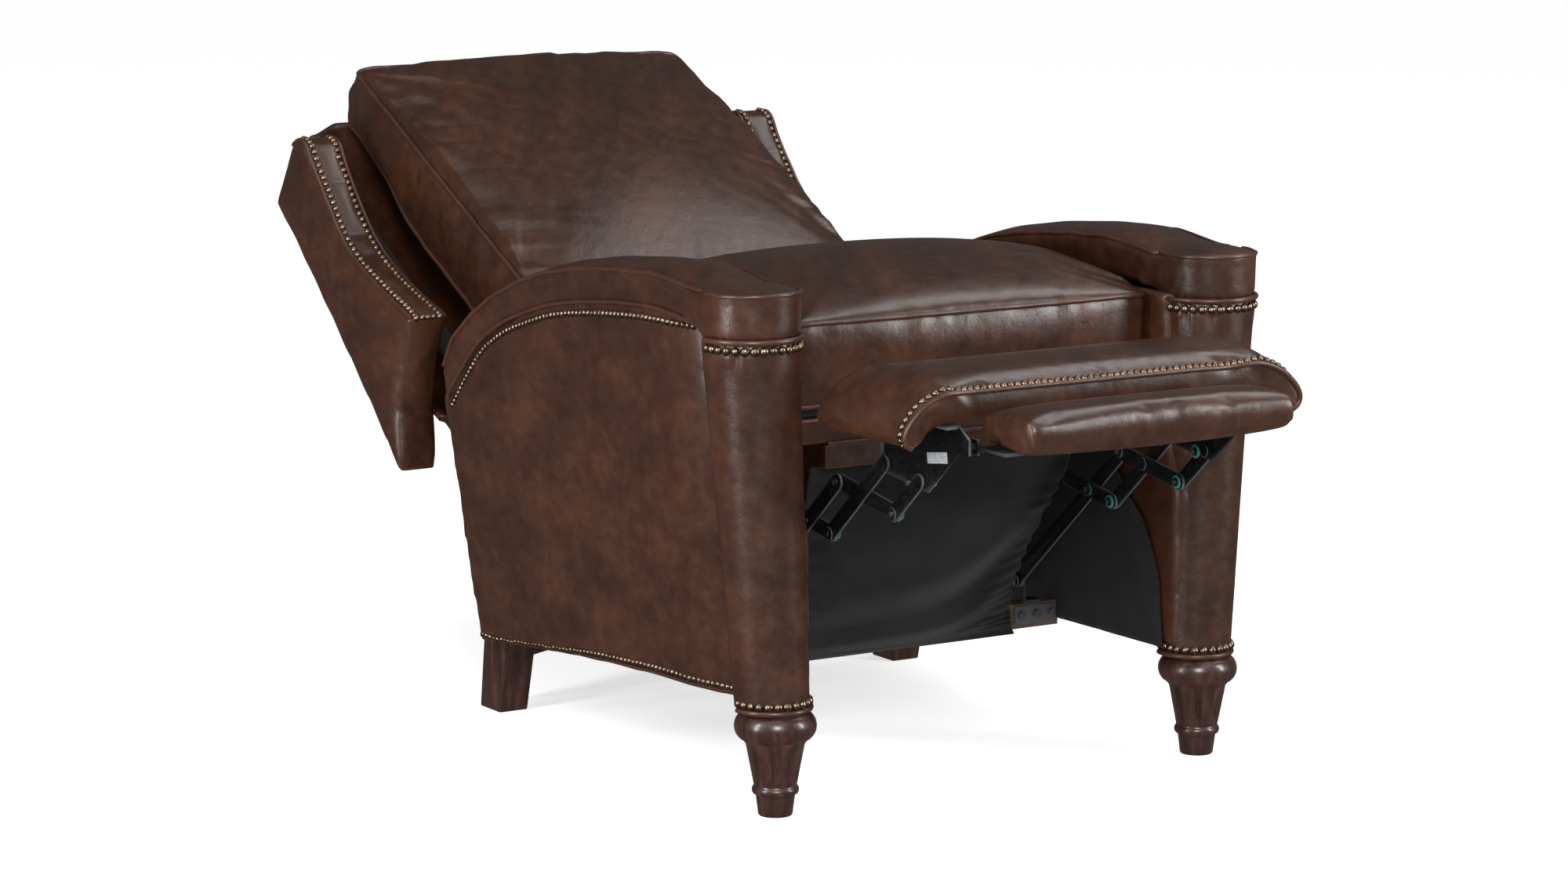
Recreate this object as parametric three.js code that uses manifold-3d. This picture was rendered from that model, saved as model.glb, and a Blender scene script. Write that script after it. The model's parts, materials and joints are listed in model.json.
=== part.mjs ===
// Push-back recliner armchair, reclined with its footrest out. Millimetres, +Z up, front towards -Y.
// "left" and "right" are the sitter's. Measures along the chair are taken from the front legs' centre line,
// and the whole chair is then moved so that the middle of its rest box stands on the origin.
import * as THREE from "three";
import { mergeVertices } from "three/addons/utils/BufferGeometryUtils.js";
import Module from "manifold-3d";

const wasm = await Module();
wasm.setup();

// ---------- driving dimensions ----------
const MIDDLE_FROM_LEGS = 444; // from the front legs' centre line back to the middle of the rest box
const GAP = 0.4; // between touching pieces
const SIDES = { right: -1, left: 1 };

const LEG = { x: 309, y: 0, height: 127.5 };
const REAR_LEG = { outer: 326, width: 46, height: 98, front: 634, depth: 57, rake: 21 };

const POST = { bottom: 128, top: 571, x: [309, 331], y: [7, 20], radius: [45, 58.5] };
const CAP = { height: 62, radius: 62 };
const ARM = {
  inner: 266, // inside face of the arm
  lean: (378 - 346) / (575 - 95), // the outside panel leans in towards the floor
  outerTop: 378,
  panelThick: 20,
  lining: 16,
  padOuter: 389,
};

const SEAT = { half: 252, front: 42, hinge: [590, 402] };
const BACK = { half: 254, hinge: [640, 425], tilt: 26.7 };
const WING = { inner: 312, outer: 370 };

// Footrest linkage: every bar is straight, and the two crossing pairs make exact parallelograms.
const LINK = {
  plane: [206, 202], // inner faces of the two layers of bars
  thick: 3.5,
  half: 10, // half the width of a bar
  pin: 4.2,
  bore: 5,
  head: 8.5,
};
const CRANK_PIVOT = [321, 243];
const CRANK_END = [252, 188];
const LONG_BAR = { angle: 138.9, knee: 217, end: 304 };
const CROSS_BAR = { angle: 189.1, tail: 50, reach: 50.6, end: 124.5 };
const RISER = 70;

// ---------- materials ----------
const FINISH = {
  leather: { color: 0x4a2a1c, roughness: 0.45, metalness: 0 },
  wood: { color: 0x2e1a14, roughness: 0.35, metalness: 0 },
  beech: { color: 0x9a7b58, roughness: 0.7, metalness: 0 },
  cloth: { color: 0x1a1b20, roughness: 0.95, metalness: 0 },
  steel: { color: 0x17181a, roughness: 0.4, metalness: 0.8 },
  zinc: { color: 0xb9bcc0, roughness: 0.35, metalness: 0.9 },
};

const chair = new THREE.Group();
chair.name = "recliner_armchair";
chair.position.y = -MIDDLE_FROM_LEGS;

function add(name, geometry, finish) {
  const mesh = new THREE.Mesh(geometry, new THREE.MeshStandardMaterial(FINISH[finish]));
  mesh.name = name;
  chair.add(mesh);
  return mesh;
}

// ---------- solids ----------
function toSolid(geometry) {
  const bare = geometry.clone();
  bare.deleteAttribute("normal");
  bare.deleteAttribute("uv");
  const merged = mergeVertices(bare, 1e-4);
  return new wasm.Manifold(
    new wasm.Mesh({
      numProp: 3,
      vertProperties: new Float32Array(merged.attributes.position.array),
      triVerts: new Uint32Array(merged.index.array),
    }),
  );
}

function fromSolid(solid) {
  const { vertProperties, triVerts } = solid.getMesh();
  const geometry = new THREE.BufferGeometry();
  geometry.setAttribute("position", new THREE.BufferAttribute(new Float32Array(vertProperties), 3));
  geometry.setIndex(new THREE.BufferAttribute(new Uint32Array(triVerts), 1));
  geometry.computeVertexNormals();
  return geometry;
}

const cut = (body, ...tools) => fromSolid(tools.reduce((s, t) => s.subtract(toSolid(t)), toSolid(body)));
const join = (...bodies) => fromSolid(bodies.map(toSolid).reduce((s, t) => s.add(t)));

function extrude(points, depth, { holes = [], bevel = 0, steps = 1 } = {}) {
  const shape = new THREE.Shape(points.map(([u, v]) => new THREE.Vector2(u, v)));
  for (const { at, radius } of holes) {
    shape.holes.push(new THREE.Path().absarc(at[0], at[1], radius, 0, 2 * Math.PI, true));
  }
  return new THREE.ExtrudeGeometry(shape, {
    depth: depth - 2 * bevel,
    bevelEnabled: bevel > 0,
    bevelThickness: bevel,
    bevelSize: bevel,
    bevelOffset: -bevel,
    bevelSegments: 2,
    curveSegments: 5,
    steps,
  }).translate(0, 0, bevel);
}

const ALONG_X = new THREE.Matrix4().makeBasis(
  new THREE.Vector3(0, 1, 0),
  new THREE.Vector3(0, 0, 1),
  new THREE.Vector3(1, 0, 0),
);
const ALONG_Y = new THREE.Matrix4().makeBasis(
  new THREE.Vector3(1, 0, 0),
  new THREE.Vector3(0, 0, 1),
  new THREE.Vector3(0, -1, 0),
);

// A side profile of [y, z] points, filled across the chair from x0 to x1.
function acrossX(points, x0, x1, options = {}) {
  const [low, high] = [Math.min(x0, x1), Math.max(x0, x1)];
  return extrude(points, high - low, options).applyMatrix4(ALONG_X).translate(low, 0, 0);
}

// A front profile of [x, z] points, filled from y0 back to y1.
function alongY(points, y0, y1, options = {}) {
  return extrude(points, y1 - y0, options).applyMatrix4(ALONG_Y).translate(0, y1, 0);
}

const rectangle = (u0, v0, u1, v1) => [
  [u0, v0],
  [u1, v0],
  [u1, v1],
  [u0, v1],
];

function block(x0, y0, z0, x1, y1, z1) {
  return acrossX(rectangle(y0, z0, y1, z1), x0, x1);
}

// A round pin or boss along X.
function pinX([y, z], radius, x0, x1, sides = 12) {
  const length = Math.abs(x1 - x0);
  return new THREE.CylinderGeometry(radius, radius, length, sides)
    .rotateZ(Math.PI / 2)
    .translate((x0 + x1) / 2, y, z);
}

function bendPoints(geometry, move) {
  const position = geometry.attributes.position;
  const point = new THREE.Vector3();
  for (let i = 0; i < position.count; i++) {
    move(point.fromBufferAttribute(position, i));
    position.setXYZ(i, point.x, point.y, point.z);
  }
  geometry.computeVertexNormals();
  return geometry;
}

const along = ([y, z], angle, length) => {
  const turn = THREE.MathUtils.degToRad(angle);
  return [y + length * Math.cos(turn), z + length * Math.sin(turn)];
};

const curve = (points, count) =>
  new THREE.SplineCurve(points.map(([u, v]) => new THREE.Vector2(u, v)))
    .getPoints(count)
    .map((p) => [p.x, p.y]);

// ---------- base: legs, arms, rails ----------
function turnedLeg() {
  const bun = { z: 108, radius: 49, half: 18 };
  const profile = [
    [0, 0],
    [20, 0],
    [24, 26],
    [28, 30],
    [28, 35],
    [26.6, 38],
    [35, 89],
  ];
  for (let step = 0; step <= 6; step++) {
    const angle = THREE.MathUtils.degToRad(-60 + 20 * step);
    profile.push([34 + (bun.radius - 34) * Math.cos(angle), bun.z + bun.half * Math.sin(angle)]);
  }
  profile.push([36, LEG.height], [0, LEG.height]);
  const points = profile.map(([r, z]) => new THREE.Vector2(r, z));
  return new THREE.LatheGeometry(points, 20).rotateX(Math.PI / 2);
}

// Square rear leg, tapered and raked back towards the floor.
function rearLeg(side) {
  const { outer, width, height, front, depth, rake } = REAR_LEG;
  const leg = block(-width / 2, 0, 0, width / 2, depth, height);
  return bendPoints(leg, (p) => {
    const down = 1 - p.z / height;
    p.x = side * (outer - width / 2) + p.x * (1 - 0.1 * down);
    p.y = front + p.y * (1 - 0.08 * down) + rake * down;
  });
}

const bottomEdge = (y) => 139 - 0.000112 * Math.max(0, y - 90) ** 2 - 0.006 * Math.max(0, y - 90);

// Top of the side panel, where the arm pad sits on it: flat, then a quarter-round fall to the rear.
const PANEL_TOP = [
  [86, 581],
  [160, 582],
  [237, 578],
  [328, 569],
  [407, 557],
  [466, 542],
  [537, 519],
  [597, 489],
  [646, 450],
  [696, 405],
];
const PAD_TOP = [
  [688, 452],
  [655, 505],
  [585, 551],
  [515, 584],
  [438, 610],
  [362, 626],
  [252, 639],
  [160, 644],
  [86, 645],
];
const REAR_EDGE = [
  [724, 403],
  [711, 354],
  [702, 304],
  [687, 214],
  [679, 175],
  [664, 100],
];

function panelOutline(front, setBack) {
  const bottom = [0, 1, 2, 3, 4, 5].map((i) => {
    const y = 640 - ((640 - front) * i) / 5;
    return [y, bottomEdge(y)];
  });
  const top = curve(PANEL_TOP, 9).map(([y, z]) => [Math.max(y, front), z - GAP]);
  return [...top, ...REAR_EDGE.map(([y, z]) => [y - setBack, z]), ...bottom].reverse();
}

const leanIn = (side) => (p) => {
  p.x -= side * ARM.lean * (575 - p.z);
};

function armOuterPanel(side) {
  const from = side * (ARM.outerTop - ARM.panelThick);
  return bendPoints(acrossX(panelOutline(86, 0), from, side * ARM.outerTop), leanIn(side));
}

function armLining(side) {
  const lining = acrossX(panelOutline(48, 22), side * ARM.inner, side * (ARM.inner + ARM.lining));
  const post = cylinderAlong(POST, 1.2, side);
  const recess = acrossX(rectangle(-60, 560, 86, 700), side * 200, side * 400);
  return cut(lining, post, recess);
}

// A leaning cone between two heights: centre and radius go evenly from bottom to top.
function cylinderAlong({ bottom, top, x, y, radius }, grow, side) {
  const cone = new THREE.CylinderGeometry(radius[1] + grow, radius[0] + grow, top - bottom, 28)
    .rotateX(Math.PI / 2)
    .translate(0, 0, (top + bottom) / 2);
  return bendPoints(cone, (p) => {
    const up = (p.z - bottom) / (top - bottom);
    p.x += side * THREE.MathUtils.lerp(x[0], x[1], up);
    p.y += THREE.MathUtils.lerp(y[0], y[1], up);
  });
}

// The post is a round column, flat on the inside where the arm's lining meets it.
function armPost(side) {
  const column = cylinderAlong(POST, 0, side);
  const inside = block(side * 100, -100, 0, side * (ARM.inner + 0.5), 200, 700);
  const panel = block(side * 330, 85.5, 0, side * 450, 300, 700);
  return cut(column, inside, panel);
}

function armCap(side) {
  const cap = new THREE.CylinderGeometry(CAP.radius, CAP.radius - 1, CAP.height, 32)
    .rotateX(Math.PI / 2)
    .translate(side * POST.x[1], POST.y[1], POST.top + GAP + CAP.height / 2);
  return cap;
}

function armPad(side) {
  const pad = acrossX(
    [...curve(PANEL_TOP, 9), ...curve(PAD_TOP, 9)],
    side * (ARM.inner + 2),
    side * ARM.padOuter,
    { bevel: 6 },
  );
  return pad;
}

// Fixed panel that closes the back of the base between the arms.
function lowerBackPanel() {
  const front = [
    [680, 118],
    [690, 214],
    [702, 290],
    [710, 338],
  ];
  const back = front.map(([y, z]) => [y + 13, z]).reverse();
  return acrossX([...front, ...back].reverse(), -324, 324);
}

function rearRail() {
  const half = REAR_LEG.outer - REAR_LEG.width - 1;
  const arch = Array.from({ length: 9 }, (_, i) => {
    const x = half - (2 * half * i) / 8;
    return [x, 72 + 26 * (1 - (x / half) ** 2)];
  });
  return alongY([[-half, 116], ...arch.reverse(), [half, 116]], 650, 672);
}

for (const [name, side] of Object.entries(SIDES)) {
  add(`front_leg_${name}`, turnedLeg().translate(side * LEG.x, LEG.y, 0), "wood");
  add(`rear_leg_${name}`, rearLeg(side), "wood");
  add(`arm_outer_panel_${name}`, armOuterPanel(side), "leather");
  add(`arm_lining_${name}`, armLining(side), "leather");
  add(`arm_post_${name}`, armPost(side), "leather");
  add(`arm_cap_${name}`, armCap(side), "leather");
  add(`arm_pad_${name}`, armPad(side), "leather");
}
add("lower_back_panel", lowerBackPanel(), "leather");
add("rear_rail", rearRail(), "wood");

const CROSS_RAIL = { half: ARM.inner - GAP, y: [243, 267], z: [126, 157.5] };
add(
  "front_cross_rail",
  block(-CROSS_RAIL.half, CROSS_RAIL.y[0], CROSS_RAIL.z[0], CROSS_RAIL.half, CROSS_RAIL.y[1], CROSS_RAIL.z[1]),
  "beech",
);
add("rear_cross_rail", block(-CROSS_RAIL.half, 600, 150, CROSS_RAIL.half, 624, 200), "beech");

// The curtain that hides the linkage hangs slack between the seat's apron and the front cross rail.
function bib() {
  const front = [
    [108, 338],
    [132, 290],
    [165, 240],
    [200, 195],
    [236, 160],
    [238, 140],
  ];
  const back = front.map(([y, z]) => [y + 3, z + 2]).reverse();
  return acrossX([...front, ...back].reverse(), -186, 186);
}
add("bib_curtain", bib(), "cloth");

// ---------- recliner mechanism ----------
const layer = (index) => [LINK.plane[index], LINK.plane[index] + LINK.thick];
const CRANK_LAYER = [210, 213.5];
const PLATE_LAYER = [214, 217.5];

const knee = along(CRANK_END, LONG_BAR.angle, LONG_BAR.knee);
const longEnd = along(CRANK_END, LONG_BAR.angle, LONG_BAR.end);
const crossTail = along(knee, CROSS_BAR.angle, -CROSS_BAR.tail);
const crossEnd = along(knee, CROSS_BAR.angle, CROSS_BAR.reach);
const frontMiddle = along(longEnd, CROSS_BAR.angle, CROSS_BAR.reach);
const frontEnd = along(longEnd, CROSS_BAR.angle, CROSS_BAR.end);
const frontRiserTop = along(frontEnd, LONG_BAR.angle, RISER);
const rearRiserTop = along(frontMiddle, LONG_BAR.angle, RISER);

// A flat steel bar with round ends through the given pivots.
function barOutline(first, last, half) {
  const angle = Math.atan2(last[1] - first[1], last[0] - first[0]);
  const end = (centre, start) =>
    Array.from({ length: 6 }, (_, i) => {
      const turn = start + (Math.PI * i) / 5;
      return [centre[0] + half * Math.cos(turn), centre[1] + half * Math.sin(turn)];
    });
  return [...end(last, angle - Math.PI / 2), ...end(first, angle + Math.PI / 2)];
}

// `bores` are holes for a neighbour's pin; each entry of `pins` runs from this bar through the next layer.
function bar(side, [inner, outer], first, last, { bores = [], pins = [], half = LINK.half } = {}) {
  const plate = acrossX(barOutline(first, last, half), side * inner, side * outer, {
    holes: bores.map((at) => ({ at, radius: LINK.bore })),
  });
  const rivets = pins.flatMap(({ at, to, headTo }) => {
    const root = side * (to < inner ? outer : inner);
    const parts = [pinX(at, LINK.pin, root, side * headTo, 10)];
    parts.push(pinX(at, LINK.head, side * to, side * headTo, 10));
    return parts;
  });
  return join(plate, ...rivets);
}

// A rivet starts in its own bar, passes the neighbour with play, and ends in a flat head.
const rivetIn = (at, neighbour) => ({ at, to: neighbour[0] - GAP, headTo: neighbour[0] - GAP - 1.6 });
const rivetOut = (at, neighbour) => ({ at, to: neighbour[1] + GAP, headTo: neighbour[1] + GAP + 1.6 });

function sidePlate(side) {
  const outline = [
    [244, 158],
    [300, 158],
    [620, 204],
    [620, 418],
    [572, 418],
    [560, 300],
    [440, 262],
    [335, 262],
    [306, 246],
    [244, 206],
  ];
  const plate = acrossX(outline, side * PLATE_LAYER[0], side * PLATE_LAYER[1], {
    holes: [{ at: CRANK_PIVOT, radius: LINK.bore }],
  });
  const foot = block(side * PLATE_LAYER[0], 244, 158, side * 240, 266, 161);
  const rearFoot = block(side * PLATE_LAYER[0], 600, 200.4, side * 240, 619, 206);
  const seatPin = pinX(SEAT.hinge, 6, side * PLATE_LAYER[0], side * 238);
  return join(plate, foot, rearFoot, seatPin);
}

const crankStack = (side) =>
  bar(side, CRANK_LAYER, CRANK_PIVOT, CRANK_END, {
    pins: [rivetOut(CRANK_PIVOT, PLATE_LAYER), rivetIn(CRANK_END, layer(0))],
  });

for (const [name, side] of Object.entries(SIDES)) {
  const [upper, lower] = [layer(0), layer(1)];
  add(`mechanism_side_plate_${name}`, sidePlate(side), "steel");
  add(`crank_${name}`, crankStack(side), "steel");
  add(
    `long_link_${name}`,
    bar(side, upper, CRANK_END, longEnd, { bores: [CRANK_END], pins: [knee, longEnd].map((p) => rivetIn(p, lower)) }),
    "steel",
  );
  add(
    `cross_link_${name}`,
    bar(side, lower, crossTail, crossEnd, { bores: [knee], pins: [rivetOut(crossEnd, upper)] }),
    "steel",
  );
  add(
    `rear_riser_${name}`,
    bar(side, upper, crossEnd, rearRiserTop, {
      bores: [crossEnd],
      pins: [frontMiddle, rearRiserTop].map((p) => rivetIn(p, lower)),
    }),
    "steel",
  );
  add(
    `front_link_${name}`,
    bar(side, lower, longEnd, frontEnd, { bores: [longEnd, frontMiddle], pins: [rivetOut(frontEnd, upper)] }),
    "steel",
  );
  add(
    `front_riser_${name}`,
    bar(side, upper, frontEnd, frontRiserTop, { bores: [frontEnd], pins: [rivetIn(frontRiserTop, lower)] }),
    "steel",
  );
}

// Square tube that ties the two cranks together.
function torqueTube() {
  const middle = along(CRANK_PIVOT, 218.6, 44);
  const half = CRANK_LAYER[0] - GAP;
  const tube = block(-half, -9, -9, half, 9, 9).rotateX(THREE.MathUtils.degToRad(38.6));
  return tube.translate(0, middle[0], middle[1]);
}
add("torque_tube", torqueTube(), "steel");

for (const [name, side] of Object.entries(SIDES)) {
  const spring = new THREE.CylinderGeometry(6.5, 6.5, 92, 14).translate(side * 227, 372, 226);
  add(`tension_spring_${name}`, spring, "zinc");
}

// ---------- footrest ----------
const FLAP = { half: 188, hinge: [-243, 467] };
const FOOTREST = { front: -238, rear: -44, top: 530, ear: 287, earLow: 462, flat: 228, underside: 490 };

// Front view of the padded board: flat top, sides that slope down into rounded ears.
function footrestOutline() {
  const { top, ear, earLow, flat, underside } = FOOTREST;
  const half = [
    [flat, top],
    [262, 515],
    [ear - 4, 492],
    [ear, 480],
    [ear - 4, 468],
    [272, earLow],
    [258, 468],
    [245, 482],
    [228, underside],
  ];
  const mirrored = half.map(([x, z]) => [-x, z]).reverse();
  return [...mirrored, ...half].reverse();
}

// The top rises to a crown two thirds of the way back, then rolls over to the rear edge.
function footrestPad() {
  const pad = alongY(footrestOutline(), FOOTREST.front, FOOTREST.rear, { steps: 6 });
  return bendPoints(pad, (p) => {
    const back = (p.y - FOOTREST.front) / (FOOTREST.rear - FOOTREST.front);
    if (p.z > 488) p.z += (17 * Math.sin(Math.PI * Math.min(back, 0.9) ** 0.8) * (p.z - 488)) / 42;
  });
}
add("footrest_pad", footrestPad(), "leather");

function footrestBracket(side) {
  const [inner, outer] = layer(1);
  const [front, rear] = [frontRiserTop, rearRiserTop];
  const rim = [
    [FLAP.hinge[0] - 9, FLAP.hinge[1] - 9],
    [FLAP.hinge[0] + 12, FLAP.hinge[1] - 9],
    [front[0] - 14, front[1] - 11],
    [rear[0] + 14, rear[1] - 11],
    [rear[0] + 14, 489.5],
    [FLAP.hinge[0] + 12, 489.5],
    [FLAP.hinge[0] - 9, FLAP.hinge[1] + 9],
  ];
  const plate = acrossX(rim, side * inner, side * outer, {
    holes: [front, rear].map((at) => ({ at, radius: LINK.bore })),
  });
  const flange = block(side * inner, FLAP.hinge[0] + 12, 486.5, side * (outer + 16), rear[0] + 12, 489.5);
  const pin = pinX(FLAP.hinge, LINK.pin, side * outer, side * (FLAP.half + 1), 10);
  return join(plate, flange, pin);
}

const FLAP_OUTLINE = [
  [-244, 489],
  [-254, 506],
  [-300, 512],
  [-346, 511],
  [-355, 500],
  [-352, 480],
  [-338, 469],
  [-300, 471],
  [-250, 475],
];
// Steel angle under the flap, with an ear that turns on the bracket's pin.
function flapPlate(side) {
  const [y, z] = FLAP.hinge;
  const ear = acrossX(rectangle(y - 10, z - 9, y + 9, z + 9), side * 190, side * 193.5, {
    holes: [{ at: FLAP.hinge, radius: LINK.bore }],
  });
  return join(ear, block(side * 150, y - 66, z - 3, side * 193.5, y - 9.5, z + 1));
}
add("flap_pad", acrossX(FLAP_OUTLINE, -FLAP.half, FLAP.half), "leather");
for (const [name, side] of Object.entries(SIDES)) {
  add(`footrest_bracket_${name}`, footrestBracket(side), "steel");
  add(`flap_plate_${name}`, flapPlate(side), "steel");
}

// ---------- seat ----------
const SEAT_PROFILE = [
  [56, 470],
  [46, 500],
  [SEAT.front, 560],
  [48, 582],
  [90, 600],
  [250, 616],
  [400, 604],
  [520, 572],
  [574, 536],
  [579, 500],
  [572, 440],
];
add("seat_cushion", acrossX(SEAT_PROFILE.slice().reverse(), -SEAT.half, SEAT.half, { bevel: 5 }), "leather");

const deckUnder = (y) => 461 - 0.058 * (y - 66); // underside of the deck board follows the cushion
function seatDeck() {
  return acrossX(
    [
      [66, deckUnder(66)],
      [572, deckUnder(572)],
      [572, deckUnder(572) + 8],
      [66, deckUnder(66) + 8],
    ],
    -SEAT.half + 4,
    SEAT.half - 4,
  );
}
add("seat_deck", seatDeck(), "beech");
add("seat_front_rail", acrossX(rectangle(66, 426, 86, 459.5), -250, 250), "leather");
add("seat_apron", acrossX(rectangle(68, 393, 84, 425.6), -197, 197), "leather");
for (const [name, side] of Object.entries(SIDES)) {
  const rail = acrossX(
    [
      [86.4, 424],
      [560, 398],
      [578, 386],
      [604, 386],
      [604, 418],
      [571, deckUnder(571) - 0.6],
      [86.4, deckUnder(86.4) - 0.6],
    ],
    side * 219,
    side * 243,
    { holes: [{ at: SEAT.hinge, radius: 7 }] },
  );
  add(`seat_side_rail_${name}`, rail, "beech");
}
add("seat_rear_rail", acrossX(rectangle(540, 398, 560, 431), -213, 213), "beech");

// ---------- back ----------
const backPoint = (up, out) => {
  const start = [618, 504]; // lower front edge of the back cushion
  return along(along(start, BACK.tilt, up), BACK.tilt - 90, out);
};
const BACK_PROFILE = [
  backPoint(2, 18),
  backPoint(14, -2),
  backPoint(160, -20),
  backPoint(400, -24),
  backPoint(600, -14),
  backPoint(636, 4),
  backPoint(650, 44),
  backPoint(630, 84),
  backPoint(400, 112),
  backPoint(160, 118),
  backPoint(14, 116),
];
add("back_cushion", acrossX(BACK_PROFILE.slice().reverse(), -BACK.half, BACK.half, { bevel: 6 }), "leather");

const WING_FRONT = [
  [801, 501],
  [842, 515],
  [890, 532],
  [946, 555],
  [994, 582],
  [1040, 626],
  [1082, 671],
  [1106, 703],
];
const WING_REST = [
  [1126, 708],
  [1147, 698],
  [1199, 610],
  [841, 286],
  [838, 309],
  [839, 373],
  [823, 441],
];
const wingProfile = [...curve(WING_FRONT, 10), ...WING_REST].reverse();
for (const [name, side] of Object.entries(SIDES)) {
  add(`wing_${name}`, acrossX(wingProfile, side * WING.inner, side * WING.outer, { bevel: 5 }), "leather");
}

// Padded shell behind the back cushion: straight along the wings' rear edge, with a short upright head.
const OUTSIDE_BACK = [
  [843, 289],
  [1199, 611],
  [1243, 704],
  [1238, 714],
  [1227, 708],
  [1186, 636],
  [829, 312],
];
add("outside_back", acrossX(OUTSIDE_BACK, -WING.inner + 0.6, WING.inner - 0.6), "leather");

const STILE = [backPoint(70, 120), backPoint(70, 158), backPoint(540, 116), backPoint(540, 96)];

// Flat steel arm that carries the back on its pivot, and the fixed plate on the arm lining that holds the pin.
function backBracket(side) {
  const [y, z] = BACK.hinge;
  const outline = [
    [y - 14, z - 12],
    [y + 60, z - 34],
    [y + 150, z - 12],
    [y + 140, z + 14],
    [y + 20, z + 12],
    [y - 10, z + 14],
  ];
  return acrossX(outline, side * 257.2, side * 260.7, { holes: [{ at: BACK.hinge, radius: 6.6 }] });
}

function backPivotPlate(side) {
  const [y, z] = BACK.hinge;
  const plate = acrossX(rectangle(y - 50, z - 60, y + 20, z + 18), side * 261.2, side * (ARM.inner - GAP));
  return join(plate, pinX(BACK.hinge, 5.8, side * 262, side * 256.6));
}

for (const [name, side] of Object.entries(SIDES)) {
  add(`back_stile_${name}`, acrossX(STILE, side * 262.5, side * 290), "beech");
  add(`back_bracket_${name}`, backBracket(side), "steel");
  add(`back_pivot_plate_${name}`, backPivotPlate(side), "steel");
}

export default chair;
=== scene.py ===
"""A push-back recliner armchair in dark antiqued leather, reclined with its footrest out.

Measures in millimetres run back from the front legs' centre line, as a chair maker takes them; place() puts
them in the frame, in metres. Soft pieces start from the frame's plain solids and are remeshed, filled and
seamed.
"""

import json
import math
import random

import bmesh
import bpy
import numpy as np
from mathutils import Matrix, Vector
from mathutils.bvhtree import BVHTree


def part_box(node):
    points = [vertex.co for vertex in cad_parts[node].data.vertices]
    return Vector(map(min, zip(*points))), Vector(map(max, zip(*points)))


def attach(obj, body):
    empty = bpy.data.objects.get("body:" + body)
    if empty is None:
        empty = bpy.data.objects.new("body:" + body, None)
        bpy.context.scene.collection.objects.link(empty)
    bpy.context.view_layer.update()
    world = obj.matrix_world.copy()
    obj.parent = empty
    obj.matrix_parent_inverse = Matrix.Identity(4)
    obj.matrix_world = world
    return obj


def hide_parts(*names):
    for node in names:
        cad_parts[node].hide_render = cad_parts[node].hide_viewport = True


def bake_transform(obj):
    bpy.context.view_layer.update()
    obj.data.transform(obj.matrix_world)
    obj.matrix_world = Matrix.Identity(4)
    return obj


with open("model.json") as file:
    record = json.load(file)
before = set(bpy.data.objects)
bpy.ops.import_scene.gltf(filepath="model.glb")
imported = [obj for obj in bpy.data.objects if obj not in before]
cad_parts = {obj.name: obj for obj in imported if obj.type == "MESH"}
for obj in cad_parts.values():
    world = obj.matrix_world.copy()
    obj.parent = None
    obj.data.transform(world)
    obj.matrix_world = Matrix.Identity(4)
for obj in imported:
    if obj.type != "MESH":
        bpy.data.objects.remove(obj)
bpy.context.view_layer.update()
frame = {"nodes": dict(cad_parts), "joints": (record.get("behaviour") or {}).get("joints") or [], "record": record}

MM = 0.001
SEAM_WIDTH = 0.004  # a seam's turned edges, which keep the filling's swell off its line
SEAM_FADE = 0.012
PIN_REACH = 0.006  # points this close to a seam are held while a cover is filled
FILL_STEPS = 20
MOST_PLEATS = 400
PLEAT_PACE = 3.0  # millimetres between the places where a seam's pleats are read
SIDES = {"right": -1, "left": 1}
mounts = {m["name"]: Vector(m["pos_m"]) for m in frame["record"]["mounts"]}
legs_y = mounts["front_left_foot"].y
leg_x = mounts["front_left_foot"].x
chance = random.Random(7)


def place(x, y, z):
    """A point measured from the front legs' centre line, in the frame."""
    return Vector((x * MM, y * MM + legs_y, z * MM))


# ---------- small tools ----------
def only(piece):
    """Makes this piece the one selected and active object."""
    if bpy.context.object and bpy.context.object.mode != "OBJECT":
        bpy.ops.object.mode_set(mode="OBJECT")
    bpy.ops.object.select_all(action="DESELECT")
    piece.select_set(True)
    bpy.context.view_layer.objects.active = piece
    return piece


def new_piece(name, verts, faces=(), edges=()):
    mesh = bpy.data.meshes.new(name)
    mesh.from_pydata([tuple(v) for v in verts], edges, faces)
    mesh.update()
    piece = bpy.data.objects.new(name, mesh)
    bpy.context.scene.collection.objects.link(piece)
    return piece


def apply_modifier(piece, kind, **settings):
    modifier = piece.modifiers.new(kind.title(), kind)
    for key, value in settings.items():
        setattr(modifier, key, value)
    only(piece)
    bpy.ops.object.modifier_apply(modifier=modifier.name)


def edit(piece, *steps):
    """Runs edit-mode operators on all of the piece; each step is (operator, settings)."""
    only(piece)
    bpy.ops.object.mode_set(mode="EDIT")
    bpy.ops.mesh.select_all(action="SELECT")
    for operator, settings in steps:
        operator(**settings)
    bpy.ops.object.mode_set(mode="OBJECT")


def bake_place(piece):
    only(piece)
    bpy.ops.object.transform_apply(location=True, rotation=True, scale=True)


def points_of(piece):
    flat = np.empty(len(piece.data.vertices) * 3, np.float64)
    piece.data.vertices.foreach_get("co", flat)
    return flat.reshape(-1, 3)


def normals_of(piece):
    flat = np.empty(len(piece.data.vertices) * 3, np.float64)
    piece.data.vertices.foreach_get("normal", flat)
    return flat.reshape(-1, 3)


def set_points(piece, points):
    piece.data.vertices.foreach_set("co", np.ascontiguousarray(points).ravel())
    piece.data.update()


def smooth_look(piece, angle=None):
    only(piece)
    if angle is None:
        bpy.ops.object.shade_smooth()
    else:
        bpy.ops.object.shade_smooth_by_angle(angle=math.radians(angle))


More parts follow.
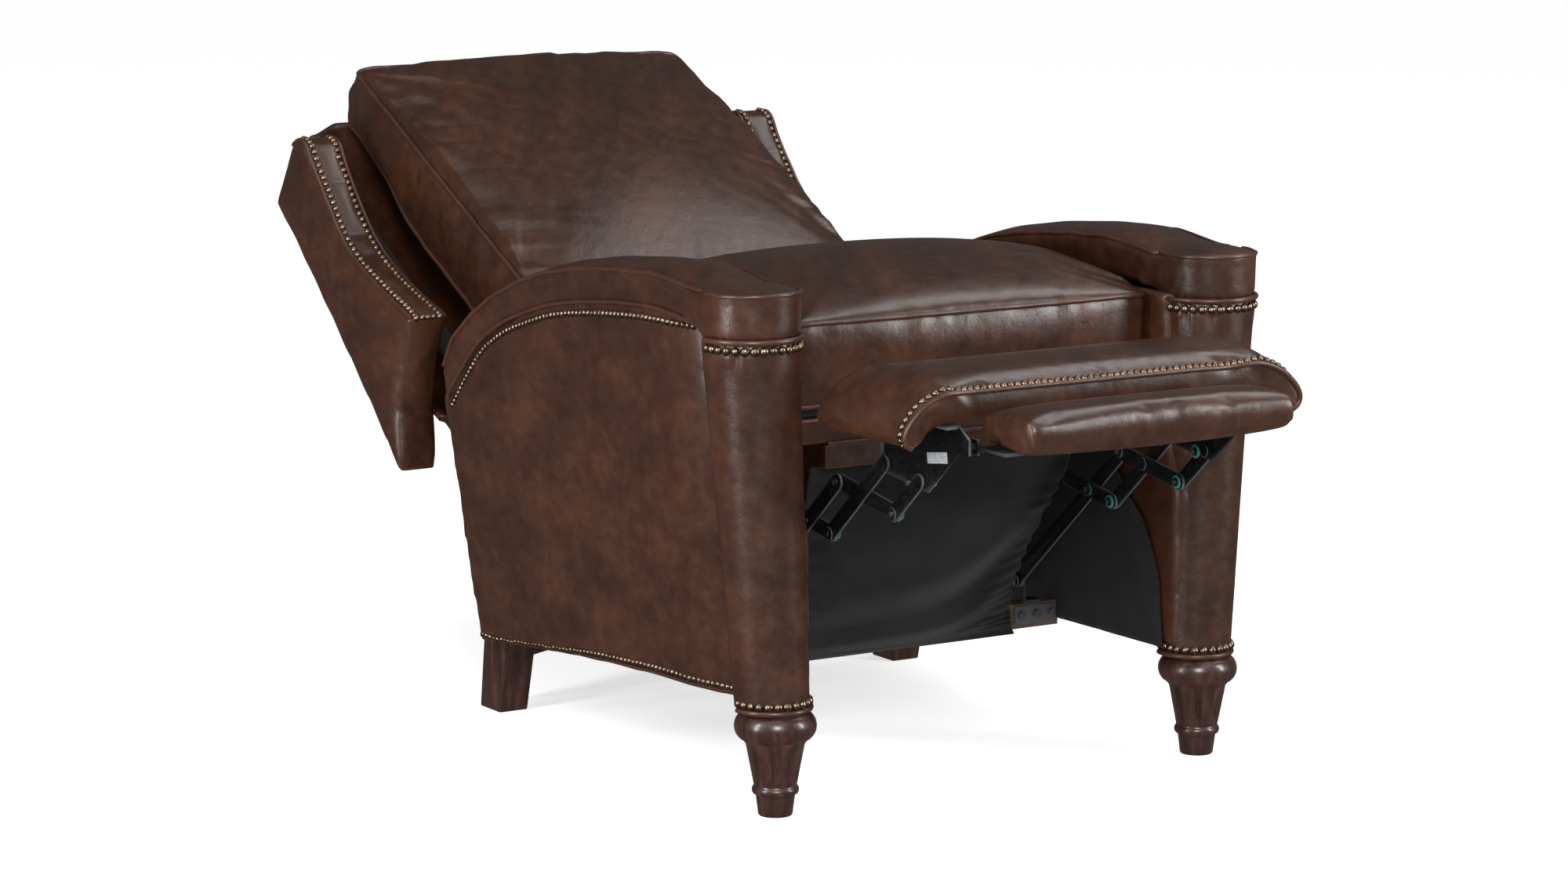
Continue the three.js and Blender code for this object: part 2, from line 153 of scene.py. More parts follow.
def resample(points, step, closed=False):
    """The same line with evenly spaced points, about one step apart."""
    line = np.array([tuple(p) for p in points], float)
    if closed:
        line = np.vstack([line, line[:1]])
    lengths = np.linalg.norm(np.diff(line, axis=0), axis=1)
    run = np.concatenate([[0], np.cumsum(lengths)])
    count = max(2, round(run[-1] / step))
    marks = np.linspace(0, run[-1], count + 1)
    even = np.column_stack([np.interp(marks, run, line[:, i]) for i in range(3)])
    return even[:-1] if closed else even


def rounded(points, per_span=8, closed=False):
    """A smooth line through the given points."""
    pts = [Vector(p) for p in points]
    count = len(pts)
    line = []
    for i in range(count if closed else count - 1):
        if closed:
            a, b, c, d = (pts[(i + k - 1) % count] for k in range(4))
        else:
            a, b, c, d = (pts[min(max(i + k - 1, 0), count - 1)] for k in range(4))
        for k in range(per_span):
            t = k / per_span
            bend = 2 * a - 5 * b + 4 * c - d
            twist = 3 * b - a - 3 * c + d
            line.append(0.5 * (2 * b + (c - a) * t + bend * t**2 + twist * t**3))
    if not closed:
        line.append(pts[-1])
    return line


def round_wire(name, path, radius, facets=2, closed=False, caps=True):
    """A cord or wire of this radius in millimetres along a path."""
    curve = bpy.data.curves.new(name, "CURVE")
    curve.dimensions = "3D"
    curve.bevel_depth = radius * MM
    curve.bevel_resolution = facets
    curve.use_fill_caps = caps and not closed
    spline = curve.splines.new("POLY")
    spline.points.add(len(path) - 1)
    spline.use_cyclic_u = closed
    for point, at in zip(spline.points, path):
        point.co = (*at, 1)
    piece = bpy.data.objects.new(name, curve)
    bpy.context.scene.collection.objects.link(piece)
    only(piece)
    bpy.ops.object.convert(target="MESH")
    piece = bpy.context.object
    piece.name = name
    edit(piece, (bpy.ops.mesh.normals_make_consistent, {"inside": False}))
    return piece


def spun(name, verts, centre, axis, steps):
    """A turned solid: a profile line spun round an axis."""
    piece = new_piece(name, verts, edges=[(i, i + 1) for i in range(len(verts) - 1)])
    edit(
        piece,
        (bpy.ops.mesh.spin, {"steps": steps, "angle": 2 * math.pi, "center": centre, "axis": axis}),
        (bpy.ops.mesh.remove_doubles, {"threshold": 1e-5}),
        (bpy.ops.mesh.normals_make_consistent, {"inside": False}),
    )
    return piece


def nearest_distance(points, line):
    """How far each point is from a line of closely spaced points."""
    line = np.array([tuple(p) for p in line], float)
    best = np.full(len(points), np.inf)
    for start in range(0, len(line), 64):
        part = line[start : start + 64]
        gap = np.linalg.norm(points[:, None, :] - part[None, :, :], axis=2).min(axis=1)
        best = np.minimum(best, gap)
    return best


# ---------- materials ----------
def srgb(code):
    """A six-digit sRGB colour as linear red, green, blue, alpha."""
    parts = [int(code[i : i + 2], 16) / 255 for i in (0, 2, 4)]
    return (*[c / 12.92 if c <= 0.04045 else ((c + 0.055) / 1.055) ** 2.4 for c in parts], 1)


def node(tree, kind, links=None, stops=(), **settings):
    """Adds a node: `links` gives each input a value or another node's output, `stops` a ramp its colours."""
    made = tree.nodes.new(kind)
    for key, value in settings.items():
        setattr(made, key, value)
    for key, value in (links or {}).items():
        if isinstance(value, bpy.types.NodeSocket):
            tree.links.new(value, made.inputs[key])
        else:
            made.inputs[key].default_value = value
    if stops:
        elements = made.color_ramp.elements
        while len(elements) < len(stops):
            elements.new(0.5)
        for element, (where, colour) in zip(elements, stops):
            element.position = where
            element.color = colour
    return made


def start_material(name, **values):
    """A new material, its node tree and its shader, with the shader's plain values set."""
    made = bpy.data.materials.new(name)
    made.use_nodes = True
    tree = made.node_tree
    shader = tree.nodes["Principled BSDF"]
    for socket, value in values.items():
        shader.inputs[socket.replace("_", " ").title()].default_value = value
    return made, tree, shader


def flecked(name, scale, detail, dark, light, **values):
    """A material whose colour wanders between two shades; dark and light are each (position, colour)."""
    made, tree, shader = start_material(name, **values)
    place_on = node(tree, "ShaderNodeTexCoord").outputs["Object"]
    flecks = node(tree, "ShaderNodeTexNoise", {"Vector": place_on, "Scale": scale, "Detail": detail})
    stops = [(where, srgb(colour)) for where, colour in (dark, light)]
    shade = node(tree, "ShaderNodeValToRGB", {"Fac": flecks.outputs["Fac"]}, stops)
    tree.links.new(shade.outputs["Color"], shader.inputs["Base Color"])
    return made


def antiqued_leather(name="antiqued_pull_up_leather", worn_to="6b432f", depth=1.0):
    """Full-grain cowhide, aniline dyed and hand rubbed: the colour goes from near black-brown in the hollows
    to warm chestnut where it is rubbed, with long soft growth wrinkles and a waxed satin. The pebble is finer
    than a millimetre on a real hide and is drawn at 1.6 mm so that it shows."""
    made, tree, shader = start_material(name)
    place_on = node(tree, "ShaderNodeTexCoord").outputs["Object"]
    turned = node(tree, "ShaderNodeMapping", {"Vector": place_on, "Rotation": (0.3, 0.5, 0.6)}).outputs[0]
    streaked = node(tree, "ShaderNodeMapping", {"Vector": turned, "Scale": (1, 0.16, 1)}).outputs[0]
    clouds = node(
        tree, "ShaderNodeTexNoise", {"Vector": streaked, "Scale": 14, "Detail": 4, "Roughness": 0.55}
    )
    mottle = node(tree, "ShaderNodeTexNoise", {"Vector": turned, "Scale": 46, "Detail": 5, "Roughness": 0.62})
    wrinkle = node(
        tree,
        "ShaderNodeTexNoise",
        {"Vector": streaked, "Scale": 75, "Detail": 3, "Roughness": 0.5, "Distortion": 0.12},
    )
    grain = node(tree, "ShaderNodeTexVoronoi", {"Vector": place_on, "Scale": 620}, feature="SMOOTH_F1")
    mixed = node(
        tree, "ShaderNodeMix", {"Factor": 0.34, 2: clouds.outputs["Fac"], 3: mottle.outputs["Fac"]}
    ).outputs[0]
    dyed = node(
        tree,
        "ShaderNodeValToRGB",
        {"Fac": mixed},
        stops=[(0.34, srgb("2c170e")), (0.5, srgb("391f12")), (0.66, srgb("482917"))],
    ).outputs["Color"]
    lines = node(
        tree,
        "ShaderNodeValToRGB",
        {"Fac": wrinkle.outputs["Fac"]},
        stops=[(0.36, (0.72, 0.7, 0.68, 1)), (0.58, (1, 1, 1, 1))],
    ).outputs["Color"]
    streaky = node(
        tree, "ShaderNodeMix", {"Factor": 0.7, 6: dyed, 7: lines}, data_type="RGBA", blend_type="MULTIPLY"
    ).outputs[2]
    rub = node(tree, "ShaderNodeNewGeometry").outputs["Pointiness"]
    rubbed = node(
        tree,
        "ShaderNodeValToRGB",
        {"Fac": rub},
        stops=[(0.51, (0, 0, 0, 1)), (0.6, (0.75, 0.75, 0.75, 1))],
    ).outputs["Color"]
    worn = node(
        tree, "ShaderNodeMix", {"Factor": rubbed, 6: streaky, 7: srgb(worn_to)}, data_type="RGBA"
    ).outputs[2]
    tree.links.new(worn, shader.inputs["Base Color"])
    gloss = node(
        tree,
        "ShaderNodeMapRange",
        {"Value": mottle.outputs["Fac"], "From Min": 0.3, "From Max": 0.7, "To Min": 0.29, "To Max": 0.4},
    ).outputs[0]
    tree.links.new(gloss, shader.inputs["Roughness"])
    shader.inputs["IOR"].default_value = 1.6
    pebble = node(
        tree, "ShaderNodeBump", {"Height": grain.outputs["Distance"], "Strength": 0.16, "Distance": 0.0006}
    )
    creased = node(
        tree,
        "ShaderNodeBump",
        {
            "Height": wrinkle.outputs["Fac"],
            "Strength": 0.2 * depth,
            "Distance": 0.0022,
            "Normal": pebble.outputs[0],
        },
    )
    soft_lumps = node(
        tree,
        "ShaderNodeBump",
        {"Height": mottle.outputs["Fac"], "Strength": 0.12, "Distance": 0.004, "Normal": creased.outputs[0]},
    )
    tree.links.new(soft_lumps.outputs[0], shader.inputs["Normal"])
    return made


def dark_mahogany():
    """Turned mahogany, stained near black-red and lacquered satin: short dark pores run up the leg, drawn
    wider than real ones so that they show."""
    made, tree, shader = start_material(
        "stained_mahogany_satin_lacquer", roughness=0.36, coat_weight=0.6, coat_roughness=0.2
    )
    place_on = node(tree, "ShaderNodeTexCoord").outputs["Object"]
    stretched = node(tree, "ShaderNodeMapping", {"Vector": place_on, "Scale": (1, 1, 0.12)}).outputs[0]
    figure = node(
        tree, "ShaderNodeTexNoise", {"Vector": stretched, "Scale": 90, "Detail": 5, "Distortion": 0.4}
    )
    pores = node(tree, "ShaderNodeTexNoise", {"Vector": stretched, "Scale": 700, "Detail": 2})
    stain = node(
        tree,
        "ShaderNodeValToRGB",
        {"Fac": figure.outputs["Fac"]},
        stops=[(0.3, srgb("241310")), (0.52, srgb("3a201a")), (0.72, srgb("4f2e24"))],
    ).outputs["Color"]
    dark = node(
        tree,
        "ShaderNodeValToRGB",
        {"Fac": pores.outputs["Fac"]},
        stops=[(0.36, (0.45, 0.42, 0.4, 1)), (0.46, (1, 1, 1, 1))],
    ).outputs["Color"]
    colour = node(
        tree, "ShaderNodeMix", {"Factor": 0.8, 6: stain, 7: dark}, data_type="RGBA", blend_type="MULTIPLY"
    ).outputs[2]
    tree.links.new(colour, shader.inputs["Base Color"])
    bump = node(
        tree, "ShaderNodeBump", {"Height": pores.outputs["Fac"], "Strength": 0.15, "Distance": 0.0004}
    )
    tree.links.new(bump.outputs[0], shader.inputs["Normal"])
    return made


def raw_beech():
    """Sawn beech, left raw: pale, with fine flecks along the rail."""
    made, tree, shader = start_material("sawn_raw_beech", roughness=0.7)
    place_on = node(tree, "ShaderNodeTexCoord").outputs["Object"]
    stretched = node(tree, "ShaderNodeMapping", {"Vector": place_on, "Scale": (0.1, 1, 1)}).outputs[0]
    figure = node(tree, "ShaderNodeTexNoise", {"Vector": stretched, "Scale": 160, "Detail": 4})
    colour = node(
        tree,
        "ShaderNodeValToRGB",
        {"Fac": figure.outputs["Fac"]},
        stops=[(0.3, srgb("3f3027")), (0.7, srgb("5e4a3b"))],
    ).outputs["Color"]
    tree.links.new(colour, shader.inputs["Base Color"])
    bump = node(
        tree, "ShaderNodeBump", {"Height": figure.outputs["Fac"], "Strength": 0.2, "Distance": 0.0006}
    )
    tree.links.new(bump.outputs[0], shader.inputs["Normal"])
    return made


def antique_bronze():
    """Stamped steel nail heads with an antique bronze plate, flecked at random from dark to rubbed bright."""
    return flecked(
        "antique_bronze_nail_plate", 260, 3, (0.35, "5e4b3e"), (0.6, "9c8674"), metallic=1.0, roughness=0.34
    )


def black_link_steel():
    """Punched steel bar in black e-coat: satin black, grey along its edges as scuffed wear and as a painted
    highlight.
    """
    made, tree, shader = start_material("black_coated_bar_steel", metallic=0.4, roughness=0.36)
    place_on = node(tree, "ShaderNodeTexCoord").outputs["Object"]
    scuff = node(tree, "ShaderNodeTexNoise", {"Vector": place_on, "Scale": 180, "Detail": 5})
    # Convex edges are painted light grey: partly worn coat, partly a painted highlight standing in for the light
    # that the cut edges reflect.
    edge = node(tree, "ShaderNodeNewGeometry").outputs["Pointiness"]
    worn_edge_and_highlight = node(
        tree, "ShaderNodeValToRGB", {"Fac": edge}, stops=[(0.53, (0, 0, 0, 1)), (0.6, (1, 1, 1, 1))]
    ).outputs["Color"]
    coat = node(
        tree,
        "ShaderNodeValToRGB",
        {"Fac": scuff.outputs["Fac"]},
        stops=[(0.4, srgb("0d0d0f")), (0.75, srgb("222226"))],
    ).outputs["Color"]
    colour = node(
        tree, "ShaderNodeMix", {"Factor": worn_edge_and_highlight, 6: coat, 7: srgb("6a6a6c")}, data_type="RGBA"
    ).outputs[2]
    tree.links.new(colour, shader.inputs["Base Color"])
    return made


def zinc_wire():
    """Drawn spring wire, bright zinc plated."""
    return flecked(
        "bright_zinc_spring_wire", 400, 2, (0.3, "9aa0a4"), (0.7, "d5d8da"), metallic=1.0, roughness=0.28
    )


def green_washer():
    """Moulded acetal washers between the bars, sea green."""
    return flecked("moulded_acetal_washer", 300, 2, (0.3, "175c52"), (0.7, "277d70"), roughness=0.4)


def black_cotton():
    """Plain woven black cotton lining: matt and faintly blue-grey. Real threads lie about 0.5 mm apart and
    are drawn at 1.3 mm so that they show."""
    made, tree, shader = start_material(
        "woven_black_cotton", roughness=0.9, sheen_weight=0.05, sheen_roughness=0.5
    )
    place_on = node(tree, "ShaderNodeTexCoord").outputs["Object"]
    weft = node(tree, "ShaderNodeTexWave", {"Vector": place_on, "Scale": 250}, bands_direction="X")
    warp = node(tree, "ShaderNodeTexWave", {"Vector": place_on, "Scale": 250}, bands_direction="Z")
    fade = node(tree, "ShaderNodeTexNoise", {"Vector": place_on, "Scale": 14, "Detail": 5})
    colour = node(
        tree,
        "ShaderNodeValToRGB",
        {"Fac": fade.outputs["Fac"]},
        stops=[(0.3, srgb("09090c")), (0.7, srgb("131317"))],
    ).outputs["Color"]
    tree.links.new(colour, shader.inputs["Base Color"])
    threads = node(
        tree, "ShaderNodeMath", {0: weft.outputs["Fac"], 1: warp.outputs["Fac"]}, operation="MULTIPLY"
    ).outputs[0]
    bump = node(tree, "ShaderNodeBump", {"Height": threads, "Strength": 0.25, "Distance": 0.0006})
    tree.links.new(bump.outputs[0], shader.inputs["Normal"])
    return made


def label_stock():
    """Vinyl-faced label stock, left unprinted: pale grey with a faint mottle and a slight shine."""
    return flecked("blank_vinyl_label", 220, 3, (0.3, "7f8284"), (0.7, "a0a3a5"), roughness=0.45)


LEATHER = antiqued_leather()
PIPING = antiqued_leather("piping_cut_leather", worn_to="4a2c1f", depth=0.4)
MAHOGANY = dark_mahogany()
BEECH = raw_beech()
BRONZE = antique_bronze()
STEEL = black_link_steel()
ZINC = zinc_wire()
WASHER = green_washer()
COTTON = black_cotton()
LABEL = label_stock()


def finish_piece(piece, body, material, replaces=(), angle=None):
    """Gives a finished piece its material, its body and the frame nodes that it stands for."""
    piece.data.materials.clear()
    piece.data.materials.append(material)
    smooth_look(piece, angle)
    if body:
        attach(piece, body)
    if replaces:
        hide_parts(*replaces)
    return piece


# ---------- upholstery ----------
def copy_nodes(name, nodes):
    """One mesh with the frame's solids in it, their loose triangles merged."""
    made = bmesh.new()
    for each in nodes:
        made.from_mesh(frame["nodes"][each].data)
    bmesh.ops.remove_doubles(made, verts=made.verts, dist=1e-5)
    mesh = bpy.data.meshes.new(name)
    made.to_mesh(mesh)
    made.free()
    piece = bpy.data.objects.new(name, mesh)
    bpy.context.scene.collection.objects.link(piece)
    return piece


def fill(piece, seams, pressure, most, slack):
    """Blows the cover up from inside as its filling does, held along its seams, and lets no point go further
    than `most` millimetres."""
    start = points_of(piece)
    near = np.full(len(start), 1.0)
    for seam in seams:
        near = np.minimum(near, nearest_distance(start, seam))
    held = np.clip(1 - (near - SEAM_WIDTH) / SEAM_FADE, 0, 1)
    shrunk = start - normals_of(piece) * (slack * MM) * (1 - held)[:, None]
    set_points(piece, shrunk)
    if seams:
        group = piece.vertex_groups.new(name="seams")
        for index in np.nonzero(near < PIN_REACH)[0]:
            group.add([int(index)], 1.0, "REPLACE")
    cloth = piece.modifiers.new("Cloth", "CLOTH")
    cloth.settings.quality = 4
    cloth.settings.mass = 0.35
    cloth.settings.use_pressure = True
    cloth.settings.uniform_pressure_force = pressure
    cloth.settings.effector_weights.gravity = 0
    if seams:
        cloth.settings.vertex_group_mass = "seams"
    cloth.point_cache.frame_end = FILL_STEPS
    scene = bpy.context.scene
    for step in range(1, FILL_STEPS + 1):
        scene.frame_set(step)
    done = piece.evaluated_get(bpy.context.evaluated_depsgraph_get())
    flat = np.empty(len(done.data.vertices) * 3)
    done.data.vertices.foreach_get("co", flat)
    moved = flat.reshape(-1, 3) - shrunk
    piece.modifiers.remove(cloth)
    scene.frame_set(1)
    length = np.linalg.norm(moved, axis=1)
    limit = most * MM
    keep = np.where(length > 1e-9, limit * np.tanh(length / limit) / np.maximum(length, 1e-9), 1)
    set_points(piece, shrunk + moved * keep[:, None])
    piece.vertex_groups.clear()


def hump(share):
    """Half a sine wave: 0 at the two ends of a stretch and 1 in its middle."""
    return np.clip(np.sin(np.pi * np.clip(share, 0, 1)), 0, 1)


def sculpt(piece, rule):
    """Moves the points by a rule on their x, y and z in millimetres from the front legs' centre line."""
    points = points_of(piece)
    moved = rule(points[:, 0] / MM, (points[:, 1] - legs_y) / MM, points[:, 2] / MM)
    set_points(piece, np.column_stack([moved[0] * MM, moved[1] * MM + legs_y, moved[2] * MM]))


def relax_where(piece, chosen, iterations):
    """Irons out part of a cover."""
    group = piece.vertex_groups.new(name="relax")
    group.add([int(i) for i in np.nonzero(chosen)[0]], 1.0, "REPLACE")
    apply_modifier(piece, "SMOOTH", factor=0.6, iterations=iterations, vertex_group="relax")
    piece.vertex_groups.clear()


def pucker(piece, seam, depth, reach, spacing, fan=0.0, seed=1):
    """Gathers a cover into small uneven pleats that run away from a seam and die out."""
    line = resample(seam, PLEAT_PACE * MM)
    draw = np.random.default_rng(seed)
    marks = np.cumsum(draw.uniform(0.55, 1.45, MOST_PLEATS)) * spacing
    heights = draw.uniform(-1, 1, MOST_PLEATS)
    lengths = draw.uniform(0.35, 1.25, MOST_PLEATS) * reach
    points, normals = points_of(piece) / MM, normals_of(piece)
    best = np.full(len(points), np.inf)
    where = np.zeros(len(points))
    for start in range(0, len(line), 64):
        gap = np.linalg.norm(points[:, None, :] - (line[start : start + 64] / MM)[None, :, :], axis=2)
        low = gap.min(axis=1)
        better = low < best
        where[better] = (start + gap.argmin(axis=1)[better]) * PLEAT_PACE
        best = np.minimum(best, low)
    run = where + fan * best
    pleat = np.interp(run, marks, heights)
    length = np.interp(run, marks, lengths)
    amount = depth * pleat * np.exp(-((best / length) ** 2)) * np.clip(best / 6, 0.25, 1)
    set_points(piece, (points + normals * amount[:, None]) * MM)


def pull_seam(piece, seam, depth=3.0, reach=11.0):
    """Draws the cover down along a sewn seam."""
    points = points_of(piece)
    near = nearest_distance(points, seam) / MM
    amount = depth * np.exp(-((near / reach) ** 2) * 2)
    set_points(piece, points - normals_of(piece) * (amount * MM)[:, None])


def upholster(
    name,
    nodes,
    body,
    voxel=5.0,
    relax=4,
    seams=(),
    pressure=0.0,
    most=12.0,
    slack=3.0,
    shape=None,
    carve=None,
):
    """A leather-covered piece: the frame's solid remeshed, eased, filled and drawn in along its seams.
    `shape` works on the plain solid and `carve` on the remeshed cover."""
    piece = copy_nodes(name, nodes)
    if shape:
        shape(piece)
    apply_modifier(piece, "REMESH", mode="VOXEL", voxel_size=voxel * MM)
    apply_modifier(piece, "SMOOTH", factor=0.5, iterations=relax)
    if carve:
        carve(piece)
    seams = [resample(s, 0.004) for s in seams]
    if pressure:
        fill(piece, seams, pressure, most, slack)
        apply_modifier(piece, "SMOOTH", factor=0.5, iterations=2)
    for seam in seams:
        pull_seam(piece, seam)
    apply_modifier(piece, "SUBSURF", levels=1, render_levels=1)
    finish_piece(piece, body, LEATHER, nodes)
    return piece


def surface_of(piece):
    mesh = piece.data
    return BVHTree.FromPolygons([v.co for v in mesh.vertices], [p.vertices for p in mesh.polygons])


def on_surface(host, line, lift=0.0):
    """The line laid on the host's surface, raised by `lift` metres, with the surface normal at each point."""
    skin = surface_of(host)
    laid = []
    for point in line:
        hit, normal, _, _ = skin.find_nearest(Vector(point))
        laid.append((hit + normal * lift, normal))
    return laid


def welt(name, line, body, host=None, radius=3.2, closed=False, lift=0.0015):
    """Leather piping: a cord in a sewn sleeve, laid on its seam."""
    path = [Vector(p) for p in resample(line, 0.006, closed)]
    if host:
        path = [p for p, _ in on_surface(host, path, lift)]
        for _ in range(3):
            last = len(path) - 1
            ends = () if closed else (0, last)
            path = [
                p if i in ends else (path[i - 1] + p * 2 + path[(i + 1) % (last + 1)]) / 4
                for i, p in enumerate(path)
            ]
    return finish_piece(round_wire(name, path, radius, closed=closed), body, PIPING)


def nail_head():
    """One domed nail head of unit radius, standing on the ground plane."""
    bpy.ops.object.select_all(action="DESELECT")
    bpy.ops.mesh.primitive_uv_sphere_add(segments=12, ring_count=8, radius=1)
    head = bpy.context.object
    edit(
        head,
        (
            bpy.ops.mesh.bisect,
            {"plane_co": (0, 0, 0.0), "plane_no": (0, 0, 1), "clear_inner": True, "use_fill": True},
        ),
    )
    points = points_of(head)
    points[:, 2] *= 0.86
    set_points(head, points)
    faces = [tuple(p.vertices) for p in head.data.polygons]
    bpy.data.objects.remove(head)
    return points, faces


NAIL_POINTS, NAIL_FACES = nail_head()


def nail_row(name, line, body, host, radius=4.7, pitch=9.4, closed=False, sink=0.3):
    """A row of nail heads, hammered in edge to edge, each a little out of true."""
    marks = resample(line, pitch * MM, closed)
    verts, faces = [], []
    for at, normal in on_surface(host, marks, -sink * MM):
        tilt = Vector([chance.uniform(-0.09, 0.09) for _ in range(3)])
        up = (normal + tilt).normalized()
        turn = up.to_track_quat("Z", "Y").to_matrix()
        size = radius * MM * chance.uniform(0.95, 1.03)
        base = len(verts)
        verts += [at + turn @ (Vector(p) * size) for p in NAIL_POINTS]
        faces += [tuple(base + i for i in f) for f in NAIL_FACES]
    return finish_piece(new_piece(name, verts, faces), body, BRONZE)


def arc(centre, radius, start, stop, z, count=40):
    """Points round a vertical axis, angles in degrees from +X towards +Y."""
    turns = np.radians(np.linspace(start, stop, count))
    return [centre + Vector((radius * math.cos(t), radius * math.sin(t), z)) for t in turns]


# ---------- base ----------
def turned_leg(side_name, side):
    """Bun, fluted taper, ring and foot, spun round the leg's axis."""
    rows = [(0, 0), (19.5, 0), (20.5, 1.5), (23.6, 25)]
    for a in np.radians(range(20, 161, 20)):  # the ring
        rows.append((25 + 3.2 * math.sin(a), 31 - 5 * math.cos(a)))
    rows.append((25.6, 38))
    rows += [(26.4 + 8.8 * t / 8, 40 + 46 * t / 8) for t in range(9)]
    rows += [(36, 88), (37.2, 89.5)]
    for a in np.radians(range(-70, 80, 10)):  # the bun
        rows.append((34 + 15.2 * math.cos(a), 108.5 + 17.5 * math.sin(a)))
    rows += [(38, 127.3), (0, 127.3)]
    centre = place(side * leg_x / MM, 0, 0)
    verts = [centre + Vector((r * MM, 0, z * MM)) for r, z in rows]
    piece = spun(f"turned_leg_{side_name}", verts, centre, (0, 0, 1), 96)
    points = points_of(piece)
    offset = points - np.array(centre)
    turn = np.degrees(np.arctan2(offset[:, 1], offset[:, 0])) - 11
    to_flute = np.abs((turn + 22.5) % 45 - 22.5)
    fluted = (offset[:, 2] > 0.0425) & (offset[:, 2] < 0.0835) & (to_flute < 4.6)
    points[fluted, :2] -= offset[fluted, :2] * 0.075
    set_points(piece, points)
    return finish_piece(piece, "base", MAHOGANY, [f"front_leg_{side_name}"], angle=38)


def square_leg(side_name):
    """The raked rear leg, its edges eased."""
    piece = copy_nodes(f"square_leg_{side_name}", [f"rear_leg_{side_name}"])
    edit(piece, (bpy.ops.mesh.tris_convert_to_quads, {}))
    apply_modifier(piece, "BEVEL", width=0.0022, segments=3, limit_method="ANGLE")
    return finish_piece(piece, "base", MAHOGANY, [f"rear_leg_{side_name}"], angle=40)


LEAN = (378 - 346) / (575 - 95)  # how far the outside panel leans in, per unit of drop
PANEL_TOP = [
    (86, 581),
    (160, 582),
    (237, 578),
    (328, 569),
    (407, 557),
    (466, 542),
    (537, 519),
    (597, 489),
    (646, 450),
    (696, 405),
]
PANEL_BOTTOM = [
    (36, 139),
    (100, 138),
    (190, 138),
    (281, 133),
    (375, 126),
    (457, 115),
    (521, 106),
    (597, 98),
    (656, 98),
]
PAD_EDGE = [
    (46, 634),
    (100, 636),
    (160, 637),
    (252, 631),
    (362, 617),
    (438, 602),
    (515, 576),
    (581, 546),
    (648, 502),
    (687, 458),
]
# where panel and post meet, as (z, y)
CREASE = [(130, -5), (152, -1), (228, 26), (319, 43), (447, 60), (557, 81), (575, 82)]
OUTER = 378  # outside face of the panel at its top, from the middle of the chair


def side_line(profile, side, drop=0, out=0):
    """A line on the outside of an arm, from its side profile."""
    return rounded([place(side * (OUTER + out - LEAN * (575 - z)), y, z - drop) for y, z in profile])


def front_edge(y, z, levels, reach):
    """How far forward a cover comes at the height of each of its points."""
    return np.interp(z, levels, [y[np.abs(z - level) < reach].min(initial=700) for level in levels])


def pillow(side):
    """The outside panel swells in its middle, rolls in to the post's crease and tucks under the pad."""

    def rule(x, y, z):
        edge = front_edge(y, z, np.linspace(135, 580, 46), 8)
        crease = np.interp(z, *zip(*CREASE))
        near = np.clip(1 - (y - edge) / 70, 0, 1)
        swell = 6 * hump((y - edge) / (690 - edge)) ** 0.55 * hump((z - 100) / 480) ** 0.55
        top = np.interp(y, *zip(*PANEL_TOP))
        tuck = np.clip(1 - (top - z) / 34, 0, 1)
        return x + side * (swell - 19 * near**2.4), y + (crease - 7 - edge) * near**2, z + 15 * tuck**0.8

    return rule


def arm_side(name, side):
    panel = upholster(
        f"side_cover_{name}",
        [f"arm_outer_panel_{name}"],
        "base",
        voxel=5,
        relax=6,
        carve=lambda piece: sculpt(piece, pillow(side)),
    )
    nail_row(f"side_top_nails_{name}", side_line(PANEL_TOP, side, drop=3), "base", panel)
    nail_row(f"side_bottom_nails_{name}", side_line(PANEL_BOTTOM, side, drop=-8), "base", panel)
    welt(f"side_bottom_welt_{name}", side_line(PANEL_BOTTOM, side, drop=2, out=1), "base", panel, lift=0.001)
    return panel


def arm_post(name, side):
    low, high = Vector((309 * side, 7, 128)), Vector((331 * side, 20, 571))
    post = upholster(f"post_cover_{name}", [f"arm_post_{name}"], "base", voxel=5, relax=3)

    def ring(z, radius):
        share = (z - low.z) / (high.z - low.z)
        centre = low.lerp(high, share)
        mid = place(centre.x, centre.y, 0)
        return arc(mid, radius * MM, *((-185, 20) if side < 0 else (-200, 5)), z * MM)

    pucker(post, ring(560, 58.5), depth=1.7, reach=17, spacing=11, seed=21)
    nail_row(f"post_top_nails_{name}", ring(562, 58.5), "base", post, radius=5.8, pitch=11.6)
    nail_row(f"post_foot_nails_{name}", ring(137, 46), "base", post, radius=5.8, pitch=11.6)
    welt(f"post_foot_welt_{name}", ring(129.5, 46), "base", lift=0, radius=3.4)
    welt(f"cap_lower_welt_{name}", ring(572.5, 60), "base", lift=0, radius=3.4)
    return post


